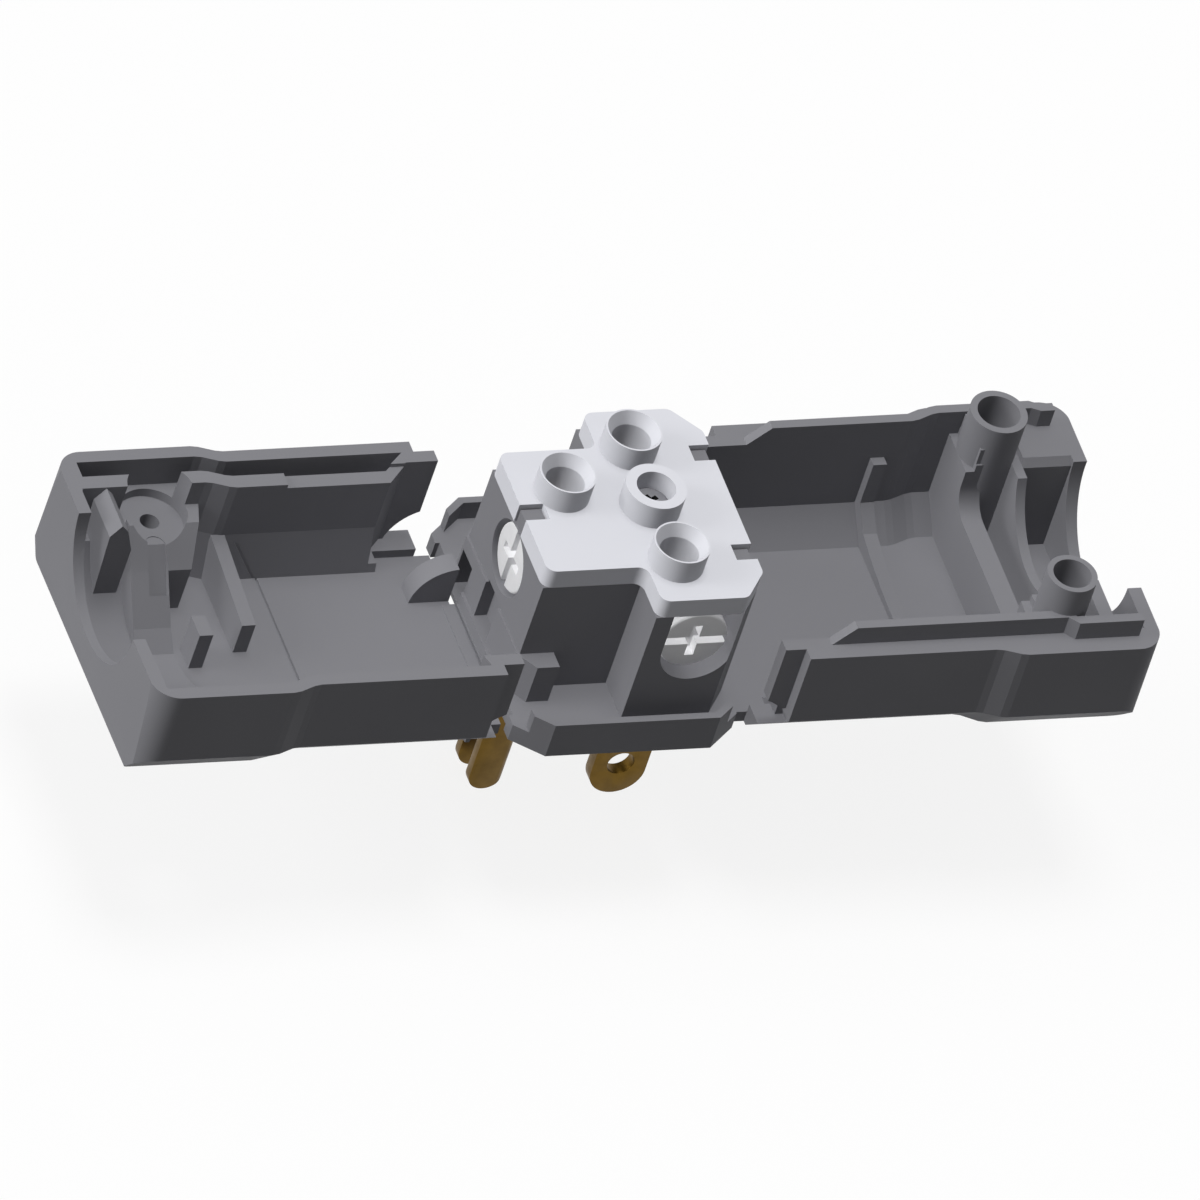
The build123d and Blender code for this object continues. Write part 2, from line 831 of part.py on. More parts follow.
def right_clamp():
    # Cross walls round the cord, a gusset behind the far boss and a shelf beside it.
    wide = inset_wall_y + shell_widening + 0.1
    gusset_u = front_wall_u + front_wall_t
    front_end = gusset_u + clamp_wall_t
    low = floor_z - 0.1
    block((front_wall_u, gusset_u), (-wide, wide), (low, front_wall_z))
    block((gusset_u, front_end), (-wide, wide), (low, parting_z))
    with BuildSketch(Plane.YZ.offset(front_wall_u - 0.5)) as gap:
        with Locations((0, clamp_gap_z + 10)):
            RectangleRounded(2 * clamp_gap_y, 20, clamp_gap_r)
    extrude(gap.sketch, amount=front_end - front_wall_u + 1, mode=Mode.SUBTRACT)
    block((gusset_u, boss_u), (clamp_gap_y + 0.2, inset_wall_y + 0.9), (parting_z - 1, gusset_top_z))
    arc_wall(rear_wall_u, rear_wall_t, rear_saddle_r, rear_saddle_z, rear_wall_z, wide)
    block((near_rib_u, near_rib_u + rib_t), (-wide, -near_rib_y), (low, near_rib_z))
    section_prism(
        [
            (clamp_gap_y, low),
            (wide, low),
            (wide, parting_z),
            (clamp_gap_y + shelf_chamfer, parting_z),
            (clamp_gap_y, parting_z - shelf_chamfer),
        ],
        rear_wall_u + rear_wall_t,
        shell_end_u - end_wall_t + 0.1,
    )


def right_tongue():
    # Raised tongue on the parting face, following the jog.
    def strip(side, d):
        y0 = inset_wall_y + d
        return [
            (side * y0, parting_z - 0.2),
            (side * (y0 + tongue_t), parting_z - 0.2),
            (side * (y0 + tongue_t), parting_z + tongue_h),
            (side * y0, parting_z + tongue_h),
        ]

    jogged(lambda d: strip(1, d), tongue_start_u, far_tongue_u, Mode.ADD)
    far_end = far_tongue_u + shell_widening
    bridge(strip(1, shell_widening), far_tongue_u, strip(1, far_tongue_step), far_end)
    section_prism(strip(1, far_tongue_step), far_end, tongue_end_u)
    section_prism(strip(-1, 0.0), tongue_start_u, near_tongue_u)
    near_end = near_tongue_u + shell_widening
    bridge(strip(-1, 0.0), near_tongue_u, strip(-1, shell_widening), near_end)
    section_prism(strip(-1, shell_widening), near_end, tongue_end_u)
    for side in (-1, 1):
        # Ramp at the hinge end.
        side_prism(
            [
                (tongue_start_u - 1, parting_z),
                (tongue_start_u, parting_z),
                (tongue_start_u + tongue_h, parting_z + tongue_h),
                (tongue_start_u + tongue_h, parting_z + tongue_h + 1),
                (tongue_start_u - 1, parting_z + tongue_h + 1),
            ],
            side * (inset_wall_y - 0.5),
            side * (inset_wall_y + tongue_t + 0.5),
            Mode.SUBTRACT,
        )


with BuildPart() as right_shell:
    jogged(outer_section, outer_wall_u, shell_end_u, Mode.ADD)
    jogged(
        lambda d: inner_section(inset_wall_y, right_slope_z, inset_wall_y, right_slope_z, d),
        outer_wall_u - 1,
        shell_end_u - end_wall_t,
        Mode.SUBTRACT,
    )
    right_tongue()
    hinge_end()
    fin(fin_right_y)
    lining_rib()
    right_clamp()
    cord_opening()
    end_trim()
    for side, r, bore, top in (
        (1, far_boss_r, far_bore_r, far_boss_top_z),
        (-1, near_boss_r, near_bore_r, near_boss_top_z),
    ):
        upright(boss_u, side * boss_y, r, floor_z - 0.1, top)
        upright(boss_u, side * boss_y, bore, 4.0, top + 1, Mode.SUBTRACT)
finish(right_shell.part, "right_shell")


def left_groove():
    # Groove for the right shell's tongue, with a slanted hinge end.
    def trench(side, d):
        bottom = parting_z - groove_depth
        return [
            (side * (groove_in_y + d), bottom),
            (side * (groove_out_y + d), bottom),
            (side * (groove_out_y + d), parting_z + 1),
            (side * (groove_in_y + d), parting_z + 1),
        ]

    start = groove_start_u + groove_diag
    jogged(lambda d: trench(1, d), start, groove_end_u, Mode.SUBTRACT)
    plan_prism(
        [
            (groove_start_u, groove_out_y),
            (start + 0.1, groove_out_y),
            (start + 0.1, groove_in_y),
            (start, groove_in_y),
        ],
        parting_z - groove_depth,
        parting_z + 1,
        Mode.SUBTRACT,
    )


def score_line():
    # Thin cut across the floor, leaning as it climbs the far slope.
    base_z = floor_z - score_depth
    block(
        (score_u, score_u + score_w),
        (-inner_slope_y, inner_slope_y),
        (base_z, floor_z + 1),
        Mode.SUBTRACT,
    )
    rise = left_slope_z - floor_z - 0.6
    run = rise * (left_wall_y - inner_slope_y) / (left_slope_z - floor_z)
    middle_u = score_u + score_w / 2
    with BuildSketch(Plane.XY.offset(base_z)) as low_end:
        with Locations((middle_u, inner_slope_y)):
            Rectangle(score_w, 2 * score_depth)
    with BuildSketch(Plane.XY.offset(base_z + rise)) as high_end:
        with Locations((middle_u + rise * score_lean, inner_slope_y + run)):
            Rectangle(score_w, 2 * score_depth)
    loft([low_end.sketch, high_end.sketch], ruled=True, mode=Mode.SUBTRACT)


def left_clamp():
    # Round channel under the cord, a pad beside it, two low ribs and a post.
    low = floor_z - 0.1
    wall = left_wall_y + shell_widening + 0.1
    near = near_wall_y + shell_widening + 0.1
    end = shell_end_u - end_wall_t + 0.1
    slope_foot = inner_slope_y + shell_widening
    channel_r = parting_z - floor_z
    section_prism(
        [
            (-slope_foot - 1, low),
            (slope_foot, low),
            (wall, channel_top_z),
            (-near, channel_top_z),
            (-near, near_slope_z - 0.2),
        ],
        channel_u,
        end,
    )
    along_x(0, parting_z, channel_r, channel_u - 1, end, Mode.SUBTRACT)
    slope = [
        (wall, low),
        (wall, pad_top_z),
        (pad_slope_y, pad_top_z),
        (pad_y, pad_z),
    ]
    section_prism(slope + [(pad_foot_y, pad_foot_z), (0, low)], channel_u, pad_end_u)
    with BuildPart(mode=Mode.PRIVATE) as front:
        section_prism(slope + [(pad_y, low)], pad_u, channel_u)
        plan_prism(
            [(pad_u, wall), (pad_front_u, pad_y), (pad_u, pad_y)],
            0,
            pad_top_z + 1,
            Mode.SUBTRACT,
        )
    add(front.part)
    # Shallow slot with a round far end, parallel to the pad's slope.
    half = key_slot_w / 2
    far_y = pad_slope_y - half
    fall = (pad_top_z - pad_z) / (pad_slope_y - pad_y)
    far_z = pad_top_z - key_slot_depth - half * fall
    foot_z = far_z - (far_y - key_slot_foot_y) * fall
    section_prism(
        [
            (far_y, far_z),
            (far_y, pad_top_z + 1),
            (key_slot_foot_y, pad_top_z + 1),
            (key_slot_foot_y, foot_z),
        ],
        key_slot_u - half,
        key_slot_u + half,
        Mode.SUBTRACT,
    )
    upright(key_slot_u, far_y, half, far_z, pad_top_z + 1, Mode.SUBTRACT)
    block(
        (stub_rib_u, stub_rib_u + rib_t),
        (stub_rib_y, stub_rib_y + stub_rib_len),
        (low, stub_rib_z),
    )
    section_prism(
        [
            (long_rib_y, low),
            (left_wall_y + 0.1, low),
            (left_wall_y + 0.1, left_slope_z),
            (long_rib_y, long_rib_z),
        ],
        long_rib_u,
        long_rib_u + rib_t,
    )
    side_prism(
        [
            (post_u, low),
            (post_u + 2.6, low),
            (post_u + 3.1, post_top_z - 1.6),
            (post_u + 2.0, post_top_z),
            (post_u + 1.1, post_top_z - 0.9),
            (post_u, post_top_z - 3.8),
        ],
        post_y,
        wall,
    )


with BuildPart() as left_shell:
    jogged(outer_section, outer_wall_u, shell_end_u, Mode.ADD)
    jogged(
        lambda d: inner_section(near_wall_y, near_slope_z, left_wall_y, left_slope_z, d),
        outer_wall_u - 1,
        shell_end_u - end_wall_t,
        Mode.SUBTRACT,
    )
    # The inner lip starts on a slant beyond the hinge end.
    start = groove_start_u + groove_diag
    plan_prism(
        [
            (outer_wall_u - 1, 0),
            (start, 0),
            (start, left_wall_y),
            (groove_start_u, inset_wall_y),
            (outer_wall_u - 1, inset_wall_y),
        ],
        ledge_z,
        parting_z + 1,
        Mode.SUBTRACT,
    )
    block((outer_wall_u - 1, start - 1), (-ledge_y, ledge_y), (floor_z, ledge_z + 1), Mode.SUBTRACT)
    # Liner that carries the near wall's tail, ending on the same slant.
    plan_prism(
        [
            (outer_wall_u, -near_wall_y - 0.1),
            (groove_start_u, -near_wall_y - 0.1),
            (groove_start_u + 0.5, -inset_wall_y),
            (outer_wall_u, -inset_wall_y),
        ],
        ledge_z,
        parting_z,
    )
    left_groove()
    # The inner lip is lower where the core's cross bar comes when shut.
    block(
        (groove_start_u, lip_drop_u),
        (left_wall_y - 0.5, bar_half_y + 0.2),
        (parting_z - lip_drop, parting_z + 1),
        Mode.SUBTRACT,
    )
    hinge_end()
    fin(fin_left_y)
    score_line()
    left_clamp()
    cord_opening()
    end_trim()
    for side in (-1, 1):
        # Room for the right shell's bosses, and the screw holes under them.
        bite_r = far_bite_r if side > 0 else near_bite_r
        bite_z = far_bite_z if side > 0 else near_bite_z
        upright(boss_u, side * boss_y, bite_r, bite_z, parting_z + 1, Mode.SUBTRACT)
        upright(boss_u, side * boss_y, screw_hole_r, shell_bottom_z - 1, parting_z, Mode.SUBTRACT)
        upright(boss_u, side * boss_y, screw_head_hole_r, shell_bottom_z - 1, 3.0, Mode.SUBTRACT)
    # Socket and pocket in the near side of the channel.
    upright(boss_u, -boss_y, near_socket_r, near_socket_z, parting_z, Mode.SUBTRACT)
    upright(near_pocket_u, -near_pocket_y, near_pocket_r, near_pocket_z, parting_z, Mode.SUBTRACT)
    mirror(about=Plane.YZ, mode=Mode.REPLACE)
finish(left_shell.part, "left_shell")
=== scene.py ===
# %% [markdown]
# # A rewireable power plug, opened flat
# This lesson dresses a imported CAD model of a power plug. The model is a frame:
# its pieces are already at their real size and place, in metres, with X to the
# right-hand shell, Y away from the viewer and Z up. Here the plastic and metal
# get their finishes, and the small metal parts are modelled again in finer form.

# %% Load the frame
import math
from collections import namedtuple

import bpy
from mathutils import Matrix, Vector


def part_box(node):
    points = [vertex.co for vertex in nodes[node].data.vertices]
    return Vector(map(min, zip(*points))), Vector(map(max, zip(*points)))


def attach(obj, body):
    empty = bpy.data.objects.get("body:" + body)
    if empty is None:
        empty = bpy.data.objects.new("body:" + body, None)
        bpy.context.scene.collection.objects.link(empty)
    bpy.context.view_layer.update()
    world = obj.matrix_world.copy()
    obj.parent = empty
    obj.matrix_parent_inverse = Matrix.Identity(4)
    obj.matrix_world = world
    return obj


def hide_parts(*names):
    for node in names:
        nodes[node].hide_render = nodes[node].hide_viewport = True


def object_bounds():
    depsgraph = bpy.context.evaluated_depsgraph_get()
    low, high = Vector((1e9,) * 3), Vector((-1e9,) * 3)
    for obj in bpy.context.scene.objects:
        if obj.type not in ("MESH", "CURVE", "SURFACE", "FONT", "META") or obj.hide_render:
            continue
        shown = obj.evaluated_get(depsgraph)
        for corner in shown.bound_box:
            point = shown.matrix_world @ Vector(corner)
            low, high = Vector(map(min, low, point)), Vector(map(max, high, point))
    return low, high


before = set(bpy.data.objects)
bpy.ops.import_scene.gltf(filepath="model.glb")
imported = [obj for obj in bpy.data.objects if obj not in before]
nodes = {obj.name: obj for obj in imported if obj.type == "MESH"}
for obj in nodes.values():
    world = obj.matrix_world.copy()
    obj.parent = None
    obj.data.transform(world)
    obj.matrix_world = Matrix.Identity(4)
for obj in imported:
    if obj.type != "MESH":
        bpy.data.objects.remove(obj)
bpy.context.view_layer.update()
MM = 0.001
print("nodes:", sorted(nodes))

# %% [markdown]
# ## Reading sizes from the frame
# The new pieces have to fill the places of the CAD ones. Their main sizes could be
# typed in, but then they would be wrong as soon as the CAD changed, so they are
# measured on the CAD meshes. A mesh cuts across a round face by up to a hundredth
# of a millimetre, so what ends on a round face is rounded to that. Blender keeps
# about seven digits of a number, and where two faces just touch, a Boolean minds
# even the last of them. So the corners are rounded too, far more finely.

# %% Measure a CAD piece
Corner = namedtuple("Corner", "x y z")


def extent(name):
    """The low and the high corner of a CAD piece, in mm."""
    return [Corner(*(round(c / MM, 4) for c in corner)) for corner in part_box(name)]


def middle(low, high):
    """The point half way between two numbers."""
    return (low + high) / 2


def radius_of(low, high):
    """Half of what lies between two ends, to a hundredth of a millimetre."""
    return round((high - low) / 2, 2)


print("wire cover in mm, from and to:", *extent("wire_cover"))

# %% [markdown]
# ## Selecting by place
# Operators work on everything that is selected, and the loader leaves the CAD
# pieces selected, so each step starts by clearing the selection. Edges are then
# picked in code by where they are, which is what a mouse click would do by hand.

# %% Selection helpers
def clear():
    """Leave edit mode and deselect every object."""
    if bpy.context.object and bpy.context.object.mode != "OBJECT":
        bpy.ops.object.mode_set(mode="OBJECT")
    bpy.ops.object.select_all(action="DESELECT")


def pick(obj):
    """Select this object only, and make it active."""
    clear()
    obj.select_set(True)
    bpy.context.view_layer.objects.active = obj


def pick_edges(obj, test):
    """Enter edit mode with only the edges selected whose middle and run, in mm, pass."""
    pick(obj)
    bpy.ops.object.mode_set(mode="EDIT")
    bpy.ops.mesh.select_mode(type="EDGE")
    bpy.ops.mesh.select_all(action="DESELECT")
    bpy.ops.object.mode_set(mode="OBJECT")
    mesh = obj.data
    for edge in mesh.edges:
        a, b = (mesh.vertices[i].co for i in edge.vertices)
        edge.select = test((a + b) / 2 / MM, (b - a) / MM)
    count = sum(edge.select for edge in mesh.edges)
    bpy.ops.object.mode_set(mode="EDIT")
    return count


clear()
print("objects still selected:", len(bpy.context.selected_objects))

# %% [markdown]
# ## Stock to start from
# A turned or a stamped part starts as round or flat stock. So each new piece starts
# as a cylinder or a box, added at its size and place in millimetres. Its place then
# goes into its mesh, because a finished piece stays at the origin and unturned.

# %% Box, disc and rod
def apply_place(obj):
    """Put the object's place, turn and scale into its mesh."""
    pick(obj)
    bpy.ops.object.transform_apply(location=True, rotation=True, scale=True)


def box(size, centre):
    """A box of that size in mm, centred there."""
    clear()
    bpy.ops.mesh.primitive_cube_add(size=1, location=[c * MM for c in centre])
    obj = bpy.context.object
    obj.scale = [s * MM for s in size]
    apply_place(obj)
    return obj


SIDES = 72
QUARTER = math.radians(90)
TURN_TO = {"X": (0, QUARTER, 0), "Y": (QUARTER, 0, 0), "Z": (0, 0, 0)}


def disc(radius, depth, centre, axis="Z", sides=SIDES):
    """A cylinder in mm along an axis, centred there."""
    clear()
    bpy.ops.mesh.primitive_cylinder_add(
        vertices=sides,
        radius=radius * MM,
        depth=depth * MM,
        location=[c * MM for c in centre],
        rotation=TURN_TO[axis],
    )
    obj = bpy.context.object
    apply_place(obj)
    return obj


def rod(radius, bottom, top):
    """A cylinder on the Z axis from one height to another, in mm."""
    return disc(radius, top - bottom, (0, 0, middle(bottom, top)))


print("sides of a round bar:", SIDES)

# %% [markdown]
# ## Cutting, joining and softening
# Slots and holes could be built loop by loop, but a Boolean follows the real work:
# a punch or a saw takes its own shape out of the stock. A bevel afterwards breaks
# the sharp edges, because tumbling and plating leave none on small metal parts.

# %% Boolean and bevel helpers
def combine(obj, tool, operation):
    """Work the tool's shape into the object by a Boolean, and remove the tool."""
    pick(obj)
    modifier = obj.modifiers.new("combine", "BOOLEAN")
    modifier.operation = operation
    modifier.solver = "EXACT"
    modifier.object = tool
    bpy.ops.object.modifier_apply(modifier="combine")
    bpy.data.objects.remove(tool)


def cut(obj, tool):
    combine(obj, tool, "DIFFERENCE")


def join(obj, other):
    combine(obj, other, "UNION")


def bevel_picked(width, steps):
    """Bevel the edges that are selected in edit mode, by a width in mm."""
    bpy.ops.mesh.bevel(offset=width * MM, segments=steps, affect="EDGES")
    bpy.ops.object.mode_set(mode="OBJECT")


def smooth(obj, angle=30):
    """Shade smooth, except across edges sharper than the angle."""
    pick(obj)
    bpy.ops.object.shade_smooth_by_angle(angle=math.radians(angle))


def soften(obj, width, steps=2, angle=35):
    """Round all the object's sharp edges, by a width in mm."""
    pick(obj)
    modifier = obj.modifiers.new("edges", "BEVEL")
    modifier.width = width * MM
    modifier.segments = steps
    modifier.limit_method = "ANGLE"
    modifier.angle_limit = math.radians(angle)
    bpy.ops.object.modifier_apply(modifier="edges")
    smooth(obj)


print("helpers: cut, join, bevel_picked, smooth, soften")

# %% [markdown]
# ## Handing a piece over
# A finished piece takes the place of its CAD node: the node is hidden, and the new
# mesh moves with the same body. All the new pieces ride on the plug's base.

# %% Finish a piece
def settle(obj, node, material):
    """Name a finished piece, let it stand for its CAD node and ride on the base."""
    obj.name = node + "_fine"
    obj.data.name = obj.name
    obj.data.materials.clear()
    obj.data.materials.append(material)
    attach(obj, "plug_base")
    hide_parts(node)
    print(obj.name, "faces", len(obj.data.polygons))


print("CAD nodes in all:", len(nodes))

# %% [markdown]
# ## Building node trees
# A material could be wired by hand, node by node. In code the same few nodes come
# back again and again, so each kind gets a helper that adds it, feeds it with
# numbers or with other nodes' outputs, and gives its output back.

# %% Node helpers
def feed(tree, socket, value):
    """Link an output to the socket, or set the socket to a number."""
    if isinstance(value, bpy.types.NodeSocket):
        tree.links.new(value, socket)
    else:
        socket.default_value = value


def add_math(tree, operation, *values):
    node = tree.nodes.new("ShaderNodeMath")
    node.operation = operation
    for socket, value in zip(node.inputs, values):
        feed(tree, socket, value)
    return node.outputs[0]


def add_range(tree, value, start, end):
    """Map a value from the range start to the range end."""
    node = tree.nodes.new("ShaderNodeMapRange")
    ends = ("From Min", "From Max", "To Min", "To Max")
    for label, number in zip(ends, (*start, *end)):
        node.inputs[label].default_value = number
    tree.links.new(value, node.inputs["Value"])
    return node.outputs["Result"]


def add_scaled(tree, colour, factor):
    """Make a colour lighter or darker by a factor."""
    node = tree.nodes.new("ShaderNodeVectorMath")
    node.operation = "SCALE"
    tree.links.new(colour, node.inputs[0])
    tree.links.new(factor, node.inputs["Scale"])
    return node.outputs[0]


def add_noise(tree, place, scale, detail):
    node = tree.nodes.new("ShaderNodeTexNoise")
    tree.links.new(place, node.inputs["Vector"])
    feed(tree, node.inputs["Scale"], scale)
    node.inputs["Detail"].default_value = detail
    return node.outputs["Fac"]


def add_bump(tree, height, strength, distance):
    """Turn a height into a normal. The distance is in mm."""
    node = tree.nodes.new("ShaderNodeBump")
    node.inputs["Distance"].default_value = distance * MM
    tree.links.new(strength, node.inputs["Strength"])
    tree.links.new(height, node.inputs["Height"])
    return node.outputs["Normal"]


print("node helpers: math, range, scaled, noise, bump")

# %% [markdown]
# An effect that several materials share is a node group with named inputs and
# outputs. Both groups of this scene give a colour, a roughness and a normal.

# %% Start a node group
def new_group(name, inputs):
    """A group with these inputs, and a colour, a roughness and a normal coming out."""
    group = bpy.data.node_groups.new(name, "ShaderNodeTree")
    for label, value in inputs.items():
        kind = "NodeSocketFloat" if isinstance(value, float) else "NodeSocketColor"
        socket = group.interface.new_socket(name=label, in_out="INPUT", socket_type=kind)
        socket.default_value = value
    for label, kind in (
        ("Color", "NodeSocketColor"),
        ("Roughness", "NodeSocketFloat"),
        ("Normal", "NodeSocketVector"),
    ):
        group.interface.new_socket(name=label, in_out="OUTPUT", socket_type=kind)
    source = group.nodes.new("NodeGroupInput").outputs
    place = group.nodes.new("ShaderNodeTexCoord").outputs["Object"]
    return group, source, place


def end_group(group, colour, roughness, normal):
    """Lead the three results out of the group."""
    target = group.nodes.new("NodeGroupOutput").inputs
    group.links.new(colour, target["Color"])
    group.links.new(roughness, target["Roughness"])
    group.links.new(normal, target["Normal"])


print("a group starts from Object coordinates, so its pattern stays on the piece")

# %% [markdown]
# ## Moulded plastic
# Moulded plastic is never one flat colour. Its tone drifts a little where the melt
# cooled at different speeds, the mould leaves a very fine grain, and handling
# polishes some places. A photo texture would show seams, so noise does all three.

# %% Node group for moulded plastic
CLOUD_SCALE, GRAIN_HEIGHT = 70, 0.02


def moulded_group():
    group, source, place = new_group(
        "moulded_surface",
        {
            "Color": (0.5, 0.5, 0.5, 1),
            "Variation": 0.03,
            "Grain Size": 6000.0,
            "Roughness": 0.5,
            "Grain Depth": 0.1,
        },
    )
    cloud = add_noise(group, place, CLOUD_SCALE, 3)
    drift = add_math(group, "SUBTRACT", cloud, 0.5)
    level = add_math(group, "MULTIPLY_ADD", drift, source["Variation"], 1.0)
    colour = add_scaled(group, source["Color"], level)
    polish = add_range(group, cloud, (0.35, 0.65), (-0.05, 0.05))
    roughness = add_math(group, "ADD", source["Roughness"], polish)
    grain = add_noise(group, place, source["Grain Size"], 2)
    normal = add_bump(group, grain, source["Grain Depth"], GRAIN_HEIGHT)
    end_group(group, colour, roughness, normal)
    return group


moulded = moulded_group()
print("moulded_surface:", len(moulded.nodes), "nodes")

# %% [markdown]
# ## Worked metal
# Plated screws and stamped contacts both go dull in patches, and both keep fine
# marks from rolling and stamping. The marks are noise that is stretched along Z,
# the way the strip ran through the press. Dull patches are rougher as well.

# %% Node group for metal
PATCH_SCALE, MARK_SCALE, MARK_HEIGHT = 620, 5200, 0.01
MARK_STRETCH = (1.0, 1.0, 0.08)
DULL_ROUGHNESS = 0.25


def metal_group():
    group, source, place = new_group(
        "worked_metal",
        {
            "Color": (0.8, 0.8, 0.8, 1),
            "Dull Color": (0.5, 0.5, 0.5, 1),
            "Dulling": 0.3,
            "Roughness": 0.3,
            "Scratch Depth": 0.1,
        },
    )
    patch = add_noise(group, place, PATCH_SCALE, 6)
    mask = add_range(group, patch, (0.3, 0.75), (0, 1))
    amount = add_math(group, "MULTIPLY", mask, source["Dulling"])
    mix = group.nodes.new("ShaderNodeMix")
    mix.data_type = "RGBA"
    group.links.new(amount, mix.inputs["Factor"])
    group.links.new(source["Color"], mix.inputs["A"])
    group.links.new(source["Dull Color"], mix.inputs["B"])
    roughness = add_math(group, "MULTIPLY_ADD", amount, DULL_ROUGHNESS, source["Roughness"])
    stretch = group.nodes.new("ShaderNodeMapping")
    stretch.inputs["Scale"].default_value = MARK_STRETCH
    group.links.new(place, stretch.inputs["Vector"])
    marks = add_noise(group, stretch.outputs["Vector"], MARK_SCALE, 2)
    normal = add_bump(group, marks, source["Scratch Depth"], MARK_HEIGHT)
    end_group(group, mix.outputs["Result"], roughness, normal)
    return group


worked = metal_group()
print("worked_metal:", len(worked.nodes), "nodes")

# %% [markdown]
# ## Finishes
# Each material places a shared group with its own values. What is the same all
# over, such as how metallic it is, is set on the shader's own sockets.

# %% One material from a group
def finish_material(name, group, values, metallic, specular):
    """A material that feeds one shader from a shared group."""
    material = bpy.data.materials.new(name)
    material.use_nodes = True
    tree = material.node_tree
    shader = tree.nodes["Principled BSDF"]
    effect = tree.nodes.new("ShaderNodeGroup")
    effect.node_tree = group
    for label, value in values.items():
        effect.inputs[label].default_value = value
    tree.links.new(effect.outputs["Color"], shader.inputs["Base Color"])
    tree.links.new(effect.outputs["Roughness"], shader.inputs["Roughness"])
    tree.links.new(effect.outputs["Normal"], shader.inputs["Normal"])
    shader.inputs["Metallic"].default_value = metallic
    shader.inputs["Specular IOR Level"].default_value = specular
    return material


print("groups to place:", moulded.name, worked.name)

# %% [markdown]
# The shells and the base are one grey plastic, and the wire cover is an off-white
# one. Both are matt, with little gloss, so that flat faces keep one even tone.

# %% The two plastics
grey_plastic = finish_material(
    "grey_moulded_plastic",
    moulded,
    {
        "Color": (0.218, 0.218, 0.235, 1),
        "Variation": 0.05,
        "Grain Size": 5200.0,
        "Roughness": 0.6,
        "Grain Depth": 0.12,
    },
    metallic=0.0,
    specular=0.12,
)
cover_plastic = finish_material(
    "off_white_moulded_plastic",
    moulded,
    {
        "Color": (0.715, 0.722, 0.77, 1),
        "Variation": 0.025,
        "Grain Size": 5200.0,
        "Roughness": 0.55,
        "Grain Depth": 0.08,
    },
    metallic=0.0,
    specular=0.15,
)
print("plastics:", grey_plastic.name, cover_plastic.name)

# %% [markdown]
# The contacts are dark, tarnished brass. The screws and clamp plates are plated
# and pale: fully metallic they would mirror the white room, so they are made nearly
# as matt as paint. The wire cover's own screw is duller, and darker with painted shade for
# its deep boss; its recess is painted shade too.

# %% The four metals
contact_brass = finish_material(
    "contact_brass",
    worked,
    {
        "Color": (0.16, 0.092, 0.014, 1),
        "Dull Color": (0.088, 0.049, 0.006, 1),
        "Dulling": 0.6,
        "Roughness": 0.3,
        "Scratch Depth": 0.3,
    },
    metallic=0.9,
    specular=0.4,
)
plated_steel = finish_material(
    "plated_steel",
    worked,
    {
        "Color": (0.86, 0.86, 0.87, 1),
        "Dull Color": (0.7, 0.7, 0.72, 1),
        "Dulling": 0.3,
        "Roughness": 0.45,
        "Scratch Depth": 0.15,
    },
    metallic=0.06,
    specular=0.2,
)
# The cover screw's dark colour is painted shade for the deep boss it sits in; its dull
# patches and roughness are its own.
dull_steel_painted_shade = finish_material(
    "dull_steel_painted_shade",
    worked,
    {
        "Color": (0.26, 0.26, 0.28, 1),
        "Dull Color": (0.16, 0.16, 0.18, 1),
        "Dulling": 0.5,
        "Roughness": 0.5,
        "Scratch Depth": 0.15,
    },
    metallic=0.2,
    specular=0.2,
)
# Near-black painted shade for the cover screw's recess, not a finish of the steel.
recess_painted_shade = finish_material(
    "recess_painted_shade",
    worked,
    {
        "Color": (0.012, 0.012, 0.013, 1),
        "Dull Color": (0.006, 0.006, 0.006, 1),
        "Dulling": 0.4,
        "Roughness": 0.7,
        "Scratch Depth": 0.1,
    },
    metallic=0.1,
    specular=0.05,
)
print("metals:", [m.name for m in (contact_brass, plated_steel, dull_steel_painted_shade, recess_painted_shade)])

# %% [markdown]
# ## Holding back the cover's own light
# The wire cover is the palest piece, and its flat top throws so much light on the
# sides of its funnels that they lose their shape. A photographer would flag that
# light off with black card. Here the material does it: for light that bounces off
# the cover the colour is darker, and to the camera it stays as it was.

# %% Darken the cover for bounced light only
BOUNCE_SHARE = 0.3


def hold_back_bounce(material, share):
    """Throw only this share of the surface's light on to what stands near it."""
    tree = material.node_tree
    base_colour = tree.nodes["Principled BSDF"].inputs["Base Color"]
    bounced = tree.nodes.new("ShaderNodeLightPath").outputs["Is Diffuse Ray"]
    keep = add_range(tree, bounced, (0, 1), (1, share))
    tree.links.new(add_scaled(tree, base_colour.links[0].from_socket, keep), base_colour)


hold_back_bounce(cover_plastic, BOUNCE_SHARE)
print("the cover throws", BOUNCE_SHARE, "of its light on its neighbours")

# %% [markdown]
# ## Plastic pieces
# The base, the shells and the wire cover come from the CAD with their real
# shapes, down to each rib, so they stay as they are and only take a finish.

# %% Dress the plastic nodes
for name, material in (
    ("base", grey_plastic),
    ("left_shell", grey_plastic),
    ("right_shell", grey_plastic),
    ("wire_cover", cover_plastic),
):
    nodes[name].data.materials.clear()
    nodes[name].data.materials.append(material)
    print(name, "in", material.name)

# %% [markdown]
# ## Terminal screws
# A terminal screw presses a clamp plate on the wire. It has a broad flat head with
# one long slot and a short cross slot, and a threaded shank. The three are alike,
# so one is modelled standing on the Z axis with its head face at the origin.
# First the sizes are measured: a head is as thick as the room over its clamp plate.

# %% Sizes of the terminals
line_low, line_high = extent("far_terminal_screw")
earth_low, earth_high = extent("ground_terminal_screw")
blade_low, blade_high = extent("far_blade")
plate_low, plate_high = extent("ground_clamp_plate")

